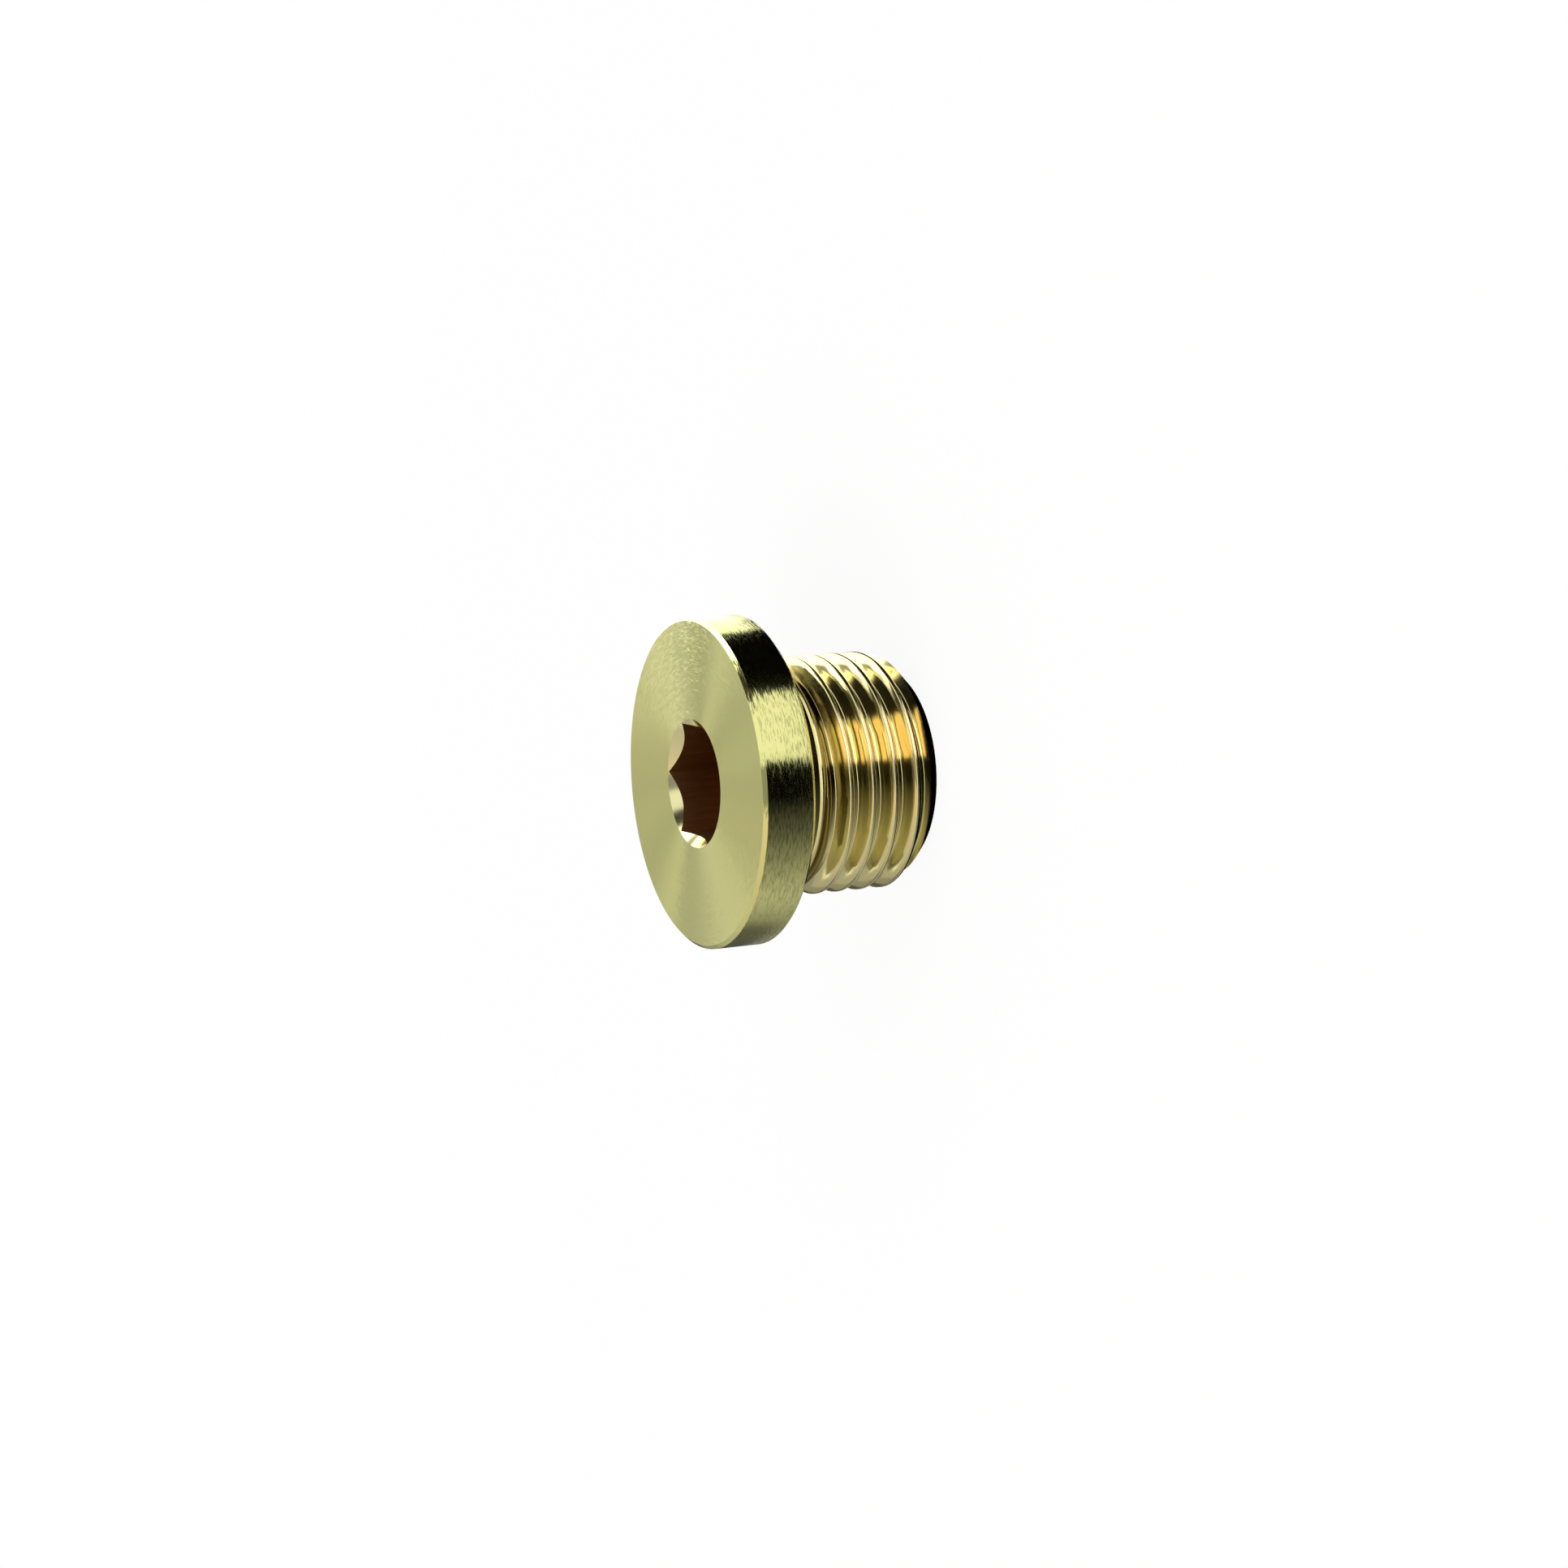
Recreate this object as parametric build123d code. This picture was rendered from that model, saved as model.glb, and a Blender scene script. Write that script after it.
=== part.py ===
from build123d import *
import os
from math import atan, cos, degrees, radians, sin, tan

# Hex socket plug with a collar and a parallel pipe thread, one piece of brass.
# The plug stands on its threaded end: the end face lies in the plane Z = 0 and the axis is Z.
# All lengths are in millimetres and all angles in degrees.

# Collar
collar_diameter = 18.0
collar_height = 3.0
collar_chamfer = 0.2

# Pipe thread G 1/4, right-handed, with the Whitworth form
thread_diameter = 13.157
thread_pitch = 1.337
flank_angle = 27.5
truncation = 1 / 6
rounding_flats = 2  # flats from the middle of a rounded crest or root to the flank
thread_length = 9.0
end_chamfer = 1.2
crest_height = 0.7  # of the lowest whole crest, above the end face, where it crosses +X

# Run-out of the rolled thread under the collar: plain neck, raised lip, slope down to the root
neck_diameter = 12.15
neck_length = 1.62
neck_fillet = 0.25
lip_height = 0.09
lip_length = 0.18
lip_rounding = 0.1
runout_length = 0.5
fade_start = 2.75  # depth below the collar of the last crest of full height
fade_angle = 190.0

# Foot of the thread ridge, where it is buried in the core
root_land = 0.01
foot_depth = 0.3
buried_turns = 2

# Seam of the turned faces, past the place where the ridge starts to fade and so clear of its end
seam_turn = 90.0

# Hex socket, broached over a drilled pilot hole
socket_sides = 6
socket_across_flats = 6.0
socket_depth = 5.0
countersink_diameter = 7.0
countersink_angle = 45.0
pilot_diameter = 5.9
pilot_depth = 6.0
drill_tip_angle = 59.0

# Thread form that follows from the pitch
sharp_height = thread_pitch / 2 / tan(radians(flank_angle))
thread_depth = sharp_height * (1 - 2 * truncation)
flank_sine = sin(radians(flank_angle))
thread_rounding = sharp_height * truncation * flank_sine / (1 - flank_sine)
crest_radius = thread_diameter / 2
root_radius = crest_radius - thread_depth
core_radius = root_radius + root_land

# Heights above the end face, and the angle from +X at which the ridge starts to fade
seat_height = thread_length
total_height = seat_height + collar_height
lip_foot = seat_height - neck_length
lip_top = lip_foot - lip_length
runout_bottom = lip_top - runout_length
fade_height = seat_height - fade_start
fade_turn = (fade_height - crest_height) / thread_pitch * 360


def turned_body():
    """Collar, neck, lip, run-out and core, turned from one outline."""
    neck_radius = neck_diameter / 2
    lip_radius = neck_radius + lip_height
    collar_radius = collar_diameter / 2
    lip = (lip_radius, lip_top)
    corner = (neck_radius, seat_height)
    outline = [
        (0, 0),
        (core_radius, 0),
        (core_radius, runout_bottom),
        lip,
        (neck_radius, lip_foot),
        corner,
        (collar_radius - collar_chamfer, seat_height),
        (collar_radius, seat_height + collar_chamfer),
        (collar_radius, total_height - collar_chamfer),
        (collar_radius - collar_chamfer, total_height),
        (0, total_height),
    ]
    with BuildPart() as body:
        with BuildSketch(Plane.XZ) as section:
            with BuildLine():
                Polyline(*outline, close=True)
            make_face()
            fillet(nearest_vertex(section, lip), lip_rounding)
            fillet(nearest_vertex(section, corner), neck_fillet)
        revolve(axis=Axis.Z)
    return body.part


def nearest_vertex(section, point):
    """Corner of an XZ section that lies at this radius and height."""
    return section.vertices().sort_by_distance(Vector(*point))[0]


def ridge_section():
    """Section of the thread ridge in the XZ plane, with its crest at Z = 0.

    The round crest and roots are drawn as flats that touch the true arcs.
    """
    half_pitch = thread_pitch / 2
    step = radians(90 - flank_angle) / rounding_flats
    turns = [(flat + 0.5) * step for flat in range(rounding_flats)]
    corner_radius = thread_rounding / cos(step / 2)
    crest_centre = crest_radius - thread_rounding
    root_centre = root_radius + thread_rounding
    crest = [(crest_centre + corner_radius * cos(turn), corner_radius * sin(turn)) for turn in turns]
    root = [
        (root_centre - corner_radius * cos(turn), half_pitch - corner_radius * sin(turn))
        for turn in reversed(turns)
    ]
    foot = (root_radius - foot_depth, root[-1][1])
    upper_side = [*crest, *root, foot]
    lower_side = [(radius, -height) for radius, height in reversed(upper_side)]
    with BuildSketch(Plane.XZ) as section:
        with BuildLine():
            Polyline(*upper_side, *lower_side, close=True)
        make_face()
    return section.sketch


def thread_ridge():
    """Helical ridge of full height, from below the end face up to where it starts to fade."""
    start_height = crest_height - buried_turns * thread_pitch
    path = Helix(thread_pitch, fade_height - start_height, crest_radius)
    ridge = sweep(ridge_section(), path=path, is_frenet=True)
    return Pos(0, 0, start_height) * ridge


def fading_ridge():
    """Last stretch of the ridge, on a narrowing helix that sinks it into the core."""
    rise = fade_angle / 360 * thread_pitch
    narrowing = degrees(atan((thread_depth + root_land) / rise))
    path = Helix(thread_pitch, rise, crest_radius, cone_angle=-narrowing)
    ridge = sweep(ridge_section(), path=path, is_frenet=True)
    return Pos(0, 0, fade_height) * Rot(0, 0, fade_turn) * ridge


def end_cone():
    """Everything inside the 45 degree chamfer at the end of the thread."""
    tip_radius = crest_radius - end_chamfer
    return Cone(
        tip_radius,
        tip_radius + total_height,
        total_height,
        align=(Align.CENTER, Align.CENTER, Align.MIN),
    )


def hex_socket():
    """Hexagonal recess with its countersink, pilot hole and drill tip, cut from the head."""
    pilot_radius = pilot_diameter / 2
    tip_length = pilot_radius / tan(radians(drill_tip_angle))
    countersink_radius = countersink_diameter / 2
    countersink_depth = countersink_radius / tan(radians(countersink_angle))
    with BuildPart() as tool:
        with BuildSketch():
            RegularPolygon(
                socket_across_flats / 2,
                socket_sides,
                major_radius=False,
                rotation=180 / socket_sides,
            )
        extrude(amount=-socket_depth)
        with Locations((0, 0, -pilot_depth / 2)):
            Cylinder(pilot_radius, pilot_depth)
        with Locations((0, 0, -pilot_depth - tip_length / 2)):
            Cone(0, pilot_radius, tip_length)
        with Locations((0, 0, -countersink_depth / 2)):
            Cone(0, countersink_radius, countersink_depth)
    return Pos(0, 0, total_height) * tool.part


def plug_body():
    inside = end_cone()
    body = Rot(0, 0, fade_turn + seam_turn) * turned_body()
    threaded = body + (thread_ridge() & inside) + fading_ridge()
    return (threaded & inside) - hex_socket()


os.makedirs("parts", exist_ok=True)
export_step(plug_body(), "parts/plug_body.step")
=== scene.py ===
import bpy
from math import cos, radians, sin
from mathutils import Matrix, Vector


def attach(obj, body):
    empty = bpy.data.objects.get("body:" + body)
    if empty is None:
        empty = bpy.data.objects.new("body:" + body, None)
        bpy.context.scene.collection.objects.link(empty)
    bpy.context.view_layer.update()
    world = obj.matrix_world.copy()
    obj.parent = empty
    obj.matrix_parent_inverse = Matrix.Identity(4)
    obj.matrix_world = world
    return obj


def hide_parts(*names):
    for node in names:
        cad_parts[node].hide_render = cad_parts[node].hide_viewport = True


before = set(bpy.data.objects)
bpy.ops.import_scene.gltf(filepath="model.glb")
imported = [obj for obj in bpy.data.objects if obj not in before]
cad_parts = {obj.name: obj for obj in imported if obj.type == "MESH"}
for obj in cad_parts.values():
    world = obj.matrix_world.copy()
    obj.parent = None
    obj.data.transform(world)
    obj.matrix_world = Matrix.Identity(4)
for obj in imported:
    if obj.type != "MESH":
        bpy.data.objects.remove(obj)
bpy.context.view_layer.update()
mm = 0.001
white = (1, 1, 1, 1)
print("frame loaded")


class Socket:  # one output of a node, for maths written as Python expressions
    def __init__(self, graph, link):
        self.graph, self.link = graph, link

    def maths(self, operation, *values):
        return self.graph.add("ShaderNodeMath", {"operation": operation}, dict(enumerate(values)))

    def __add__(self, other):
        return self.maths("ADD", self, other)

    def __radd__(self, other):
        return self.maths("ADD", other, self)

    def __sub__(self, other):
        return self.maths("SUBTRACT", self, other)

    def __rsub__(self, other):
        return self.maths("SUBTRACT", other, self)

    def __mul__(self, other):
        return self.maths("MULTIPLY", self, other)

    def __rmul__(self, other):
        return self.maths("MULTIPLY", other, self)

    def __truediv__(self, other):
        return self.maths("DIVIDE", self, other)

    def __rtruediv__(self, other):
        return self.maths("DIVIDE", other, self)

    def __pow__(self, other):
        return self.maths("POWER", self, other)


class Graph:  # the node tree of one material or of the world
    def __init__(self, owner):
        owner.use_nodes = True
        self.tree = owner.node_tree
        self.tree.nodes.clear()

    def add(self, kind, settings=None, inputs=None, output=0):
        node = self.tree.nodes.new(kind)
        for name, value in (settings or {}).items():
            if name == "stops":
                ramp = node.color_ramp
                while len(ramp.elements) < len(value):
                    ramp.elements.new(0.5)
                for element, (position, level) in zip(ramp.elements, value):
                    element.position = position
                    element.color = (level, level, level, 1)
            else:
                setattr(node, name, value)
        for name, value in (inputs or {}).items():
            if isinstance(value, Socket):
                self.tree.links.new(value.link, node.inputs[name])
            else:
                node.inputs[name].default_value = value
        return Socket(self, node.outputs[output]) if node.outputs else None


def smoothStep(graph, value, low, high):  # 0 below low, 1 above high
    return graph.add(
        "ShaderNodeMapRange",
        {"interpolation_type": "SMOOTHSTEP"},
        {"Value": value, "From Min": low, "From Max": high},
    )


def smoothMask(graph, value, place, blur):  # the same, over a blurred edge at a place in mm
    return smoothStep(graph, value, (place - blur) * mm, (place + blur) * mm)


def mixColour(graph, factor, first, second):
    return graph.add("ShaderNodeMix", {"data_type": "RGBA"}, {0: factor, 6: first, 7: second}, output=2)


def mixShader(graph, factor, first, second):
    return graph.add("ShaderNodeMixShader", None, {0: factor, 1: first, 2: second})


# the camera looks down on the head and leans over, so that the plug lies on its side in the picture
cameraValues = {
    "aim": (-0.416, -0.097, 6.633),  # mm
    "distance": 163.07,  # mm
    "azimuth": 13.12,
    "elevation": 25.21,
    "lean": -94.78,
    "lens": 68.35,
}


def makeCamera(values):
    azimuth, elevation = radians(values["azimuth"]), radians(values["elevation"])
    level = cos(elevation)
    back = Vector((sin(azimuth) * level, -cos(azimuth) * level, sin(elevation)))
    bpy.ops.object.camera_add()
    camera = bpy.context.object
    camera.name = "mainCamera"
    turn = (-back).to_track_quat("-Z", "Y").to_matrix() @ Matrix.Rotation(radians(values["lean"]), 3, "Z")
    camera.rotation_euler = turn.to_euler()
    camera.location = (Vector(values["aim"]) + back * values["distance"]) * mm
    camera.data.lens = values["lens"]
    camera.data.clip_start = 0.005
    bpy.context.scene.camera = camera


makeCamera(cameraValues)
print("camera placed")


# the light tent stands close round the plug and only the metal's reflections see it
# every list of cards runs all round: (turn from the camera in degrees, level)
tentValues = {
    "radius": 40.0,  # mm
    "top": 25.0,  # mm, it is open above
    "lift": 0.02,  # mm, of its bottom over the floor
    "lowTop": 6.0,  # mm, the bottom's outer cards go on up the wall to here
    "horizonTop": 15.0,  # mm, the upper cards start here
    "horizon": [
        (-180, 0.3), (-110, 0.3), (-84, 0.42), (-64, 0.36), (-25, 0.10), (-14, 0.02),
        (-12, 0.0), (6, 0.0), (7, 2.6), (43, 2.6), (44, 0.0), (96, 0.0), (104, 2.2), (180, 2.2),
    ],
    "warm": (1.0, 0.70, 0.60, 1),  # of the brightest cards below the thread
    "warmLevel": (1.2, 1.5),  # cards take the warm colour between these levels
    "warmRadius": 21.25,  # mm, only inside this
    "rings": {"thread": 9.0, "neck": 17.0, "collar": 25.4},  # mm, inner radius of each ring on the bottom
    "thread": [
        (-180, 0.3), (-110, 0.3), (-84, 0.42), (-64, 0.36), (-25, 0.10), (-14, 0.02),
        (-12, 0.0), (6, 0.0), (7, 1.6), (43, 1.6), (44, 0.0), (114, 0.0), (122, 0.0), (126, 1.0), (180, 1.0),
    ],
    "neck": [
        (-180, 0.1), (-120, 0.3), (-60, 0.4), (-30, 0.16), (-5, 0.03), (10, 0.0), (100, 0.0), (122, 0.0), (126, 1.0),
        (180, 1.0),
    ],
    "collar": [
        (-180, 0.05), (-150, 0.08), (-110, 0.12), (-100, 0.30), (-84, 0.46), (-74, 0.46), (-56, 0.28), (-35, 0.10),
        (-14, 0.0), (8, 0.0), (9, 1.0), (50, 1.0), (51, 0.0), (105, 0.0), (108, 1.5), (180, 2.0),
    ],
    "upper": [
        (-180, 0.45), (-130, 0.45), (-100, 0.55), (-60, 0.7), (-25, 0.8), (-15, 1.0), (98, 1.0),
        (102, 2.4), (148, 2.4), (152, 1.1), (172, 1.1), (175, 0.45),
    ],
}
domeValues = {
    "radius": 300.0,  # mm
    "height": 12.0,  # mm, its centre
    "zones": {"middle": 38.0, "high": 48.0},  # degrees above the level, where each zone starts
    "low": [
        (-180, 0.52), (-167, 0.52), (-163, 1.1), (-140, 1.05), (-130, 0.55), (-100, 0.6), (-60, 0.7), (-25, 0.9),
        (-15, 1.0), (98, 1.0), (102, 3.0), (126, 3.0), (129, 0.3), (172, 0.3), (178, 0.52),
    ],
    "middle": [
        (-180, 0.52), (-167, 0.52), (-163, 1.1), (-140, 1.05), (-130, 0.55), (-100, 0.6), (-60, 0.7), (-36, 0.7),
        (-30, 0.3), (20, 0.3), (60, 0.02), (97, 0.02), (100, 2.0), (110, 2.0), (115, 0.72), (166, 0.72), (170, 0.52),
    ],
    "high": [
        (-180, 0.5), (-120, 0.5), (-100, 0.6), (-36, 0.75), (-30, 0.28), (12, 0.28), (18, 1.0), (67, 1.0), (71, 0.03),
        (97, 0.03), (100, 0.6), (180, 0.5),
    ],
    "blush": [(-180, 0.0), (-135, 0.1), (-80, 0.6), (-55, 1.0), (-38, 1.0), (-30, 0.0), (180, 0.0)],
    "warm": (1.15, 0.95, 0.83, 1),  # where the blush is 1
}
worldValues = {"level": 0.6, "seenLevel": 1.0}
# in metres: the paper is part shaded and part white, and turns all white over the fade
floorValues = {"radius": 1.2, "colour": (0.8, 0.8, 0.79, 1), "white": 0.92, "fade": (0.03, 0.15)}
lampValues = {  # metres
    "key": {"place": (-0.5, -0.6, 0.9), "size": 0.8, "watts": 9.0},
    "fill": {"place": (0.9, -0.3, 0.8), "size": 0.8, "watts": 5.0},
}


def seenRays(graph):  # 1 for what the camera sees directly, in metal or through glass
    path = graph.tree.nodes.new("ShaderNodeLightPath")
    camera, glossy, transmission = (
        Socket(graph, path.outputs[name]) for name in ("Is Camera Ray", "Is Glossy Ray", "Is Transmission Ray")
    )
    return camera.maths("MAXIMUM", camera, camera.maths("MAXIMUM", glossy, transmission))


def splitPlace(graph):  # Object coordinates, whole and as x, y and z
    place = graph.add("ShaderNodeTexCoord", output=3)
    parts = graph.tree.nodes.new("ShaderNodeSeparateXYZ")
    graph.tree.links.new(place.link, parts.inputs[0])
    return place, *(Socket(graph, output) for output in parts.outputs)


def makeWorld(values):
    world = bpy.data.worlds.new("studio")
    bpy.context.scene.world = world
    graph = Graph(world)
    levels = {0: seenRays(graph), 2: values["level"], 3: values["seenLevel"]}
    level = graph.add("ShaderNodeMix", {"data_type": "FLOAT"}, levels)
    shader = graph.add("ShaderNodeBackground", None, {"Color": white, "Strength": level})
    graph.add("ShaderNodeOutputWorld", None, {"Surface": shader})


def makeFloor(values):
    bpy.ops.object.select_all(action="DESELECT")
    bpy.ops.mesh.primitive_circle_add(vertices=96, radius=values["radius"], fill_type="NGON")
    floor = bpy.context.object
    floor.name = "floor"
    material = bpy.data.materials.new("paleFloor")
    graph = Graph(material)
    place, x, y, z = splitPlace(graph)
    share = values["white"] + (1 - values["white"]) * smoothStep(graph, (x * x + y * y) ** 0.5, *values["fade"])
    glow = graph.add("ShaderNodeEmission", None, {"Color": white, "Strength": 1.0})
    paper = graph.add("ShaderNodeBsdfDiffuse", None, {"Color": values["colour"]})
    shader = mixShader(graph, seenRays(graph) * share, paper, glow)
    graph.add("ShaderNodeOutputMaterial", None, {"Surface": shader})
    floor.data.materials.append(material)


def cardRing(graph, cards):  # the level of cards that stand all round
    peak = max(1, *(level for turn, level in cards))  # a ramp's colours stop at 1
    place = graph.add("ShaderNodeTexCoord", output=3)
    turn = (0, 0, radians(90 - cameraValues["azimuth"]))
    turned = graph.add("ShaderNodeMapping", {"vector_type": "POINT"}, {"Vector": place, "Rotation": turn})
    around = graph.add("ShaderNodeTexGradient", {"gradient_type": "RADIAL"}, {"Vector": turned}, output=1)
    stops = [(0.5 + turn / 360, level / peak) for turn, level in cards]
    return graph.add("ShaderNodeValToRGB", {"stops": stops}, {"Fac": around}) * peak


def finishTent(tent, graph, level, colour):
    glow = graph.add("ShaderNodeEmission", None, {"Color": colour, "Strength": level})
    graph.add("ShaderNodeOutputMaterial", None, {"Surface": glow})
    for rays in ("camera", "diffuse", "transmission", "volume_scatter", "shadow"):
        setattr(tent, "visible_" + rays, False)


def makeTent(values):
    bpy.ops.object.select_all(action="DESELECT")
    bpy.ops.mesh.primitive_cylinder_add(
        vertices=128,
        radius=values["radius"] * mm,
        depth=values["top"] * mm,
        location=(0, 0, (values["top"] / 2 + values["lift"]) * mm),
    )
    tent = bpy.context.object
    tent.name = "lightTent"
    bpy.ops.object.transform_apply(location=True)
    bpy.ops.object.mode_set(mode="EDIT")
    bpy.ops.mesh.select_all(action="DESELECT")
    bpy.ops.object.mode_set(mode="OBJECT")
    for face in tent.data.polygons:
        face.select = face.normal.z > 0.5
    bpy.ops.object.mode_set(mode="EDIT")
    bpy.ops.mesh.delete(type="ONLY_FACE")
    bpy.ops.object.mode_set(mode="OBJECT")
    material = bpy.data.materials.new("tentCards")
    tent.data.materials.append(material)
    graph = Graph(material)
    place, x, y, z = splitPlace(graph)
    radius = (x * x + y * y) ** 0.5
    level = 0  # the bottom is black right under the plug
    for name, edge in values["rings"].items():
        mask = smoothMask(graph, radius, edge, 0.3)
        level = level + mask * (cardRing(graph, values[name]) - level)
    for top, above in (("lowTop", "horizon"), ("horizonTop", "upper")):
        mask = smoothMask(graph, z, values[top], 0.5)
        level = level + mask * (cardRing(graph, values[above]) - level)
    inside = 1 - smoothMask(graph, radius, values["warmRadius"], 0.25)
    warmth = smoothStep(graph, level, *values["warmLevel"]) * inside
    finishTent(tent, graph, level, mixColour(graph, warmth, white, values["warm"]))


def makeDome(values):
    bpy.ops.object.select_all(action="DESELECT")
    radius, height = values["radius"] * mm, values["height"] * mm
    bpy.ops.mesh.primitive_uv_sphere_add(segments=96, ring_count=48, radius=radius, location=(0, 0, height))
    dome = bpy.context.object
    dome.name = "lightDome"
    bpy.ops.object.transform_apply(location=True)
    material = bpy.data.materials.new("domeCards")
    dome.data.materials.append(material)
    graph = Graph(material)
    place, x, y, z = splitPlace(graph)
    above = (z - height) / radius
    level = cardRing(graph, values["low"])
    for name, edge in values["zones"].items():
        mask = smoothStep(graph, above, sin(radians(edge - 1)), sin(radians(edge + 1)))
        level = level + mask * (cardRing(graph, values[name]) - level)
    finishTent(dome, graph, level, mixColour(graph, cardRing(graph, values["blush"]), white, values["warm"]))


def makeLamps(values):
    for name, lamp in values.items():
        bpy.ops.object.light_add(type="AREA", location=lamp["place"])
        light = bpy.context.object
        light.name = name + "Lamp"
        light.rotation_euler = Vector(lamp["place"]).to_track_quat("Z", "Y").to_euler()
        light.data.size = lamp["size"]
        light.data.energy = lamp["watts"]
        light.visible_glossy = False


makeWorld(worldValues)
makeFloor(floorValues)
makeTent(tentValues)
makeDome(domeValues)
makeLamps(lampValues)
print("studio built")


plugValues = {
    "weld": 0.0005,  # mm
    "smooth": 40,  # degrees
    "lipFoot": 7.38,  # mm above the end face
    "lipReach": 0.002,  # mm, how near to that height an edge has to lie
}


def makePlug(values):
    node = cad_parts["plug_body"]
    plug = node.copy()
    plug.data = node.data.copy()
    plug.name = "hexPlug"
    for key in list(plug.keys()):
        del plug[key]
    plug.parent = None
    bpy.context.scene.collection.objects.link(plug)
    bpy.ops.object.select_all(action="DESELECT")
    plug.select_set(True)
    bpy.context.view_layer.objects.active = plug
    bpy.ops.mesh.customdata_custom_splitnormals_clear()
    bpy.ops.object.mode_set(mode="EDIT")
    bpy.ops.mesh.select_all(action="SELECT")
    bpy.ops.mesh.remove_doubles(threshold=values["weld"] * mm)
    bpy.ops.object.mode_set(mode="OBJECT")
    bpy.ops.object.shade_smooth_by_angle(angle=radians(values["smooth"]))
    bpy.ops.object.mode_set(mode="EDIT")
    bpy.ops.mesh.select_all(action="DESELECT")
    bpy.ops.object.mode_set(mode="OBJECT")
    for edge in plug.data.edges:  # the foot of the lip stays sharp
        ends = [plug.data.vertices[index].co for index in edge.vertices]
        edge.select = all(abs(end.z - values["lipFoot"] * mm) < values["lipReach"] * mm for end in ends)
    bpy.ops.object.mode_set(mode="EDIT")
    bpy.ops.mesh.mark_sharp()
    bpy.ops.object.mode_set(mode="OBJECT")
    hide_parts("plug_body")
    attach(plug, "root")
    return plug


# base colours in linear light, sizes in mm
brassValues = {
    "turned": {"colour": (0.871, 0.855, 0.34, 1), "face": 0.3, "side": 0.12},
    "scratch": {
        "long": 2.0,  # marks per mm round the axis
        "fine": 12.0,  # marks per mm across
        "tilt": 0.2,
        "faceTilt": 0.34,
        "height": 0.007,
        "dashes": (0.47, 0.62),  # where the grain starts to be a dash, and where it is a full one
        "roughness": 0.05,
        "shade": 0.72,
    },
    "rolled": {"colour": (0.90, 0.80, 0.37, 1), "roughness": 0.104, "patch": 0.07, "grain": 6.0, "shade": 0.9},
    # painted shade: the socket walls' dark brown colour; the streaks and roughness are real
    "broached": {"colour": (0.58, 0.33, 0.13, 1), "roughness": 0.35, "streak": (8.0, 0.4), "shade": 0.6},
    "countersink": {"colour": (0.85, 0.80, 0.42, 1), "roughness": 0.16},
    # painted highlight: a paler colour on the thread's crests; their higher roughness is real
    "crest": {"colour": (1.0, 0.93, 0.5, 1), "roughness": 0.25, "radius": 6.565},
    # painted shade: a dark colour on the neck and the collar's underside, from the lip's foot up to the seat
    "paintedNeckShade": {"colour": (0.22, 0.2, 0.08, 1), "bottom": 7.38},
    # painted shade: a dark colour on the thread's first root band after the run-out
    "paintedRunoutShade": {"colour": (0.28, 0.22, 0.06, 1), "bottom": 6.4, "top": 7.19},
    "edges": {"seat": 9.02, "side": 8.8, "dashes": 8.975, "hole": 3.51, "holeBottom": 2.5, "wall": 8.46},
}


def darker(colour, share):
    return (*(channel * share for channel in colour[:3]), 1)


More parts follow.
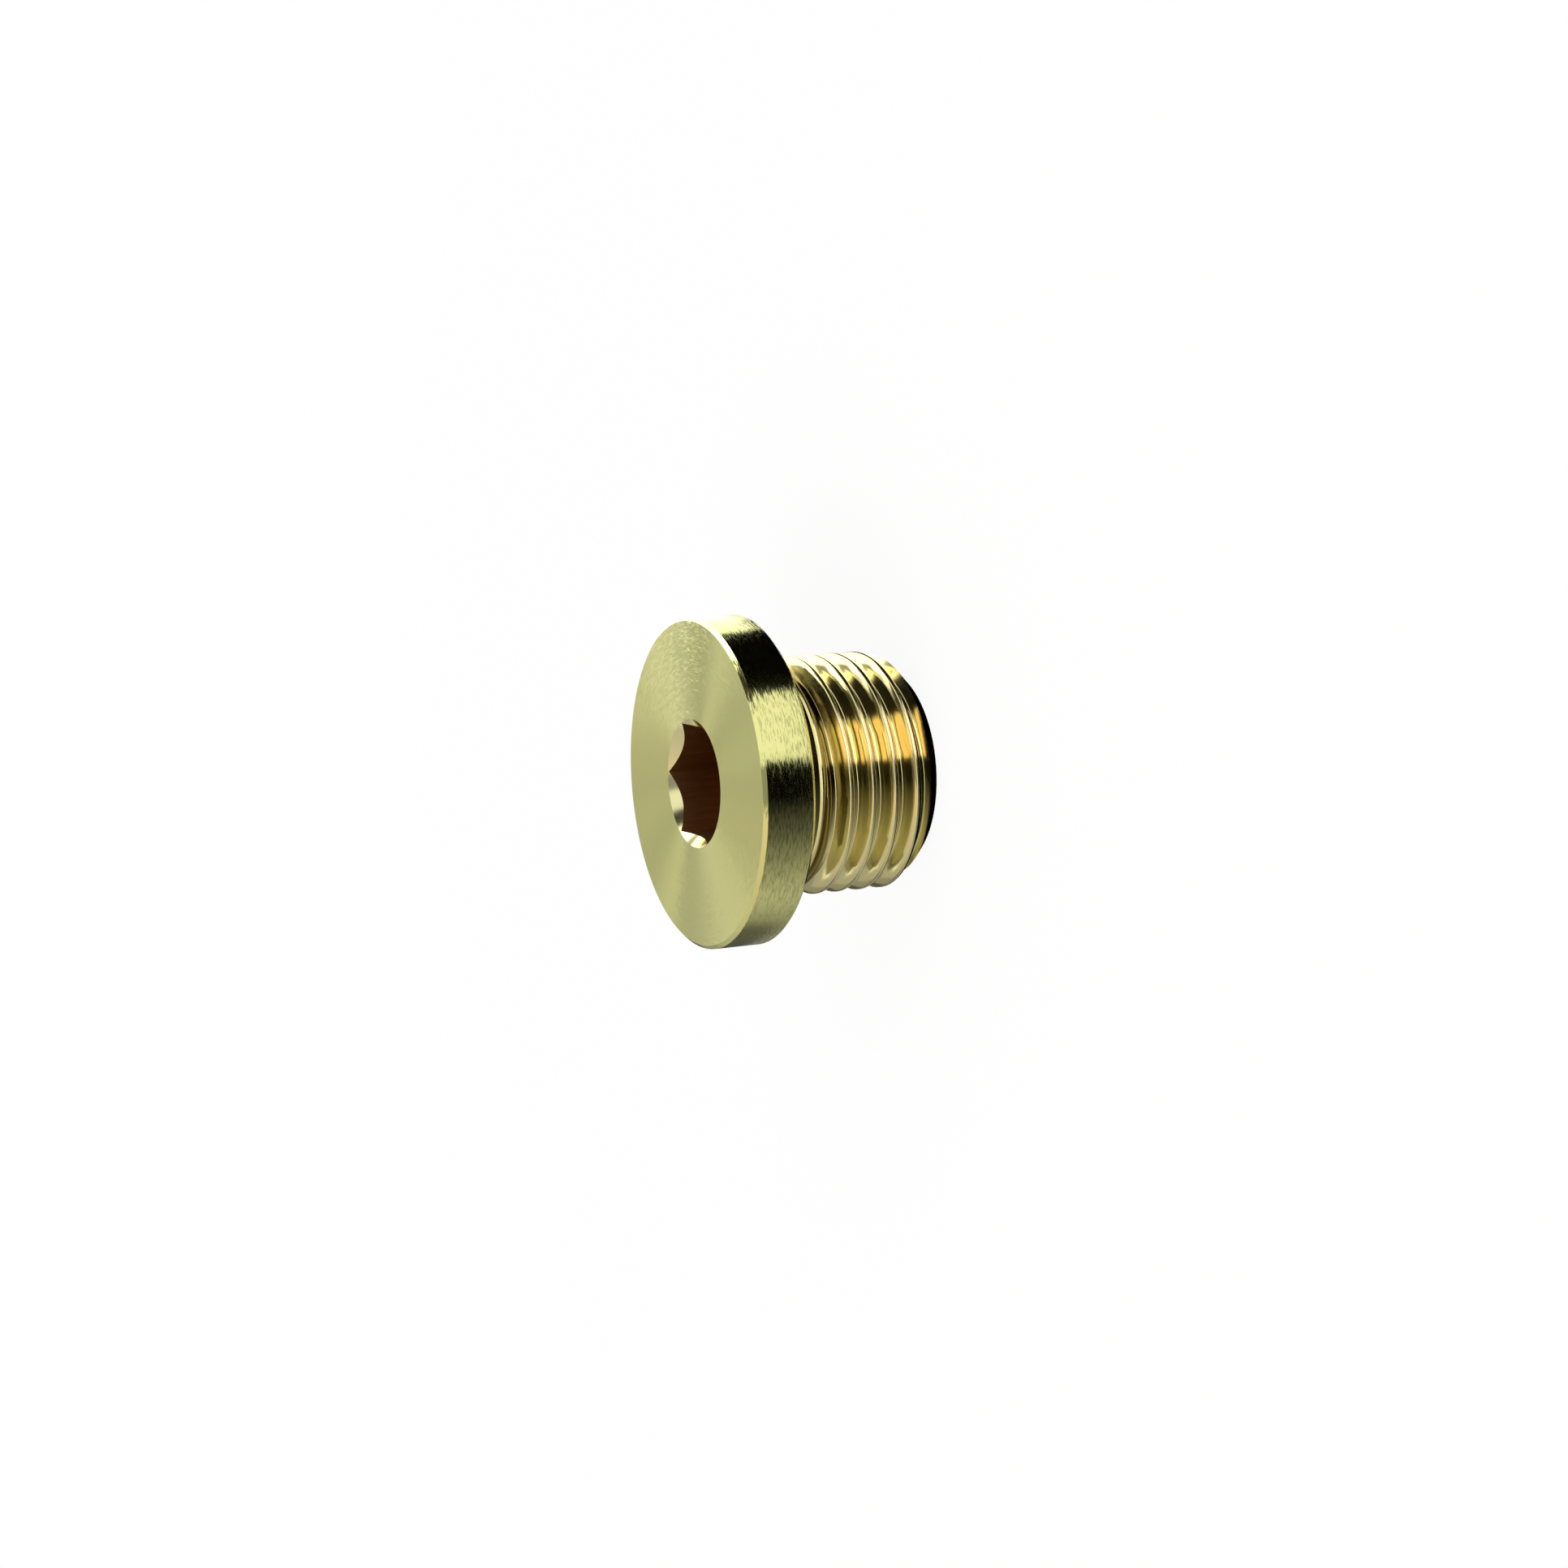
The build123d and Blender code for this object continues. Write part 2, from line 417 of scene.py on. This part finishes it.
def makeBrass(values):
    material = bpy.data.materials.new("brass")
    graph = Graph(material)
    place, x, y, z = splitPlace(graph)
    radius = (x * x + y * y) ** 0.5
    turned, scratch, rolled = values["turned"], values["scratch"], values["rolled"]
    broached, countersink, paintedNeckShade = values["broached"], values["countersink"], values["paintedNeckShade"]
    crest, paintedRunoutShade, edges = values["crest"], values["paintedRunoutShade"], values["edges"]

    # where each finish lies, and where shade or a highlight is painted
    rolledMask = 1 - smoothMask(graph, z, edges["seat"], 0.01)
    # painted shade on the neck and under the collar
    paintedNeckShadeMask = smoothMask(graph, z, paintedNeckShade["bottom"], 0.02)
    # painted shade on the run-out band
    paintedRunoutShadeMask = smoothMask(graph, z, paintedRunoutShade["bottom"], 0.1) * (1 - smoothMask(graph, z, paintedRunoutShade["top"], 0.02))
    # painted highlight on the crests
    crestMask = smoothMask(graph, radius, crest["radius"], 0.01)
    sideMask = smoothMask(graph, radius, edges["side"], 0.02)
    holeMask = (1 - smoothMask(graph, radius, edges["hole"], 0.01)) * smoothMask(graph, z, edges["holeBottom"], 0.5)
    wallMask = 1 - smoothMask(graph, z - radius, edges["wall"], 0.02)  # below the countersink's cone

    # turning marks: long round the axis, fine across it, on the head and on the collar's side
    marks = graph.add(
        "ShaderNodeMapping",
        {"vector_type": "POINT"},
        {"Vector": place, "Scale": [scratch["long"] / mm, scratch["long"] / mm, scratch["fine"] / mm]},
    )
    grain = graph.add(
        "ShaderNodeTexNoise",
        {"noise_dimensions": "4D"},
        {"Vector": marks, "W": radius * (scratch["fine"] / mm), "Scale": 1.0, "Detail": 2.0},
    )
    dashes = smoothStep(graph, grain, *scratch["dashes"]) * smoothMask(graph, radius, edges["dashes"], 0.015)
    tilt = (grain - 0.5) * (scratch["faceTilt"] + sideMask * (scratch["tilt"] - scratch["faceTilt"]))
    lean = graph.add("ShaderNodeCombineXYZ", None, {0: 0 - y * tilt / radius, 1: x * tilt / radius, 2: 0.0})
    geometry = graph.add("ShaderNodeNewGeometry", output=1)
    leaning = graph.add("ShaderNodeVectorMath", {"operation": "ADD"}, {0: geometry, 1: lean})
    leaning = graph.add("ShaderNodeVectorMath", {"operation": "NORMALIZE"}, {0: leaning})
    bumped = graph.add(
        "ShaderNodeBump",
        None,
        {"Strength": 1.0, "Distance": scratch["height"] * mm, "Height": grain, "Normal": leaning},
    )
    worn = mixColour(graph, dashes, turned["colour"], darker(turned["colour"], scratch["shade"]))
    faceFinish = graph.add(
        "ShaderNodeBsdfPrincipled",
        None,
        {
            "Base Color": turned["colour"],
            "Metallic": 1.0,
            "Roughness": turned["face"],
            "Anisotropic": 1.0,
            "Anisotropic Rotation": 0.25,
            "Normal": bumped,
        },
    )
    sideRoughness = turned["side"] + dashes * scratch["roughness"]
    sideFinish = graph.add(
        "ShaderNodeBsdfPrincipled",
        None,
        {"Base Color": worn, "Metallic": 1.0, "Roughness": sideRoughness, "Normal": bumped},
    )

    # rolled thread, a little duller in patches, with painted shade on the neck, under the collar and on the run-out,
    # and a painted highlight on the crests
    patches = graph.add(
        "ShaderNodeTexNoise", None, {"Vector": place, "Scale": rolled["grain"] / mm, "Detail": 3.0}
    )
    rolledColour = mixColour(graph, patches, rolled["colour"], darker(rolled["colour"], rolled["shade"]))
    # painted shade on the run-out band
    rolledColour = mixColour(graph, paintedRunoutShadeMask, rolledColour, paintedRunoutShade["colour"])
    # painted shade on the neck and under the collar
    rolledColour = mixColour(graph, paintedNeckShadeMask, rolledColour, paintedNeckShade["colour"])
    # painted highlight on the crests
    rolledColour = mixColour(graph, crestMask, rolledColour, crest["colour"])
    rolledRoughness = rolled["roughness"] + patches * rolled["patch"]
    rolledRoughness = rolledRoughness + crestMask * (crest["roughness"] - rolledRoughness)
    rolledFinish = graph.add(
        "ShaderNodeBsdfPrincipled",
        None,
        {"Base Color": rolledColour, "Metallic": 1.0, "Roughness": rolledRoughness},
    )

    # broached walls, streaked along the hole, under a countersink; their dark brown colour is painted shade inside
    # the socket, the streaks are real
    across, along = broached["streak"]  # streaks per mm
    strokes = graph.add(
        "ShaderNodeMapping",
        {"vector_type": "POINT"},
        {"Vector": place, "Scale": [across / mm, across / mm, along / mm]},
    )
    streaks = graph.add("ShaderNodeTexNoise", None, {"Vector": strokes, "Scale": 1.0, "Detail": 2.0})
    wallPaintedShadeColour = mixColour(graph, streaks, broached["colour"], darker(broached["colour"], broached["shade"]))
    holeColour = mixColour(graph, wallMask, countersink["colour"], wallPaintedShadeColour)
    holeRoughness = countersink["roughness"] + wallMask * (broached["roughness"] - countersink["roughness"])
    holeFinish = graph.add(
        "ShaderNodeBsdfPrincipled", None, {"Base Color": holeColour, "Metallic": 1.0, "Roughness": holeRoughness}
    )

    shader = mixShader(graph, sideMask, faceFinish, sideFinish)
    shader = mixShader(graph, rolledMask, shader, rolledFinish)
    shader = mixShader(graph, holeMask, shader, holeFinish)
    graph.add("ShaderNodeOutputMaterial", None, {"Surface": shader})
    return material


plug = makePlug(plugValues)
plug.data.materials.clear()
plug.data.materials.append(makeBrass(brassValues))
print("plug finished:", len(plug.data.polygons), "faces")

bpy.context.scene.view_settings.view_transform = "Standard"
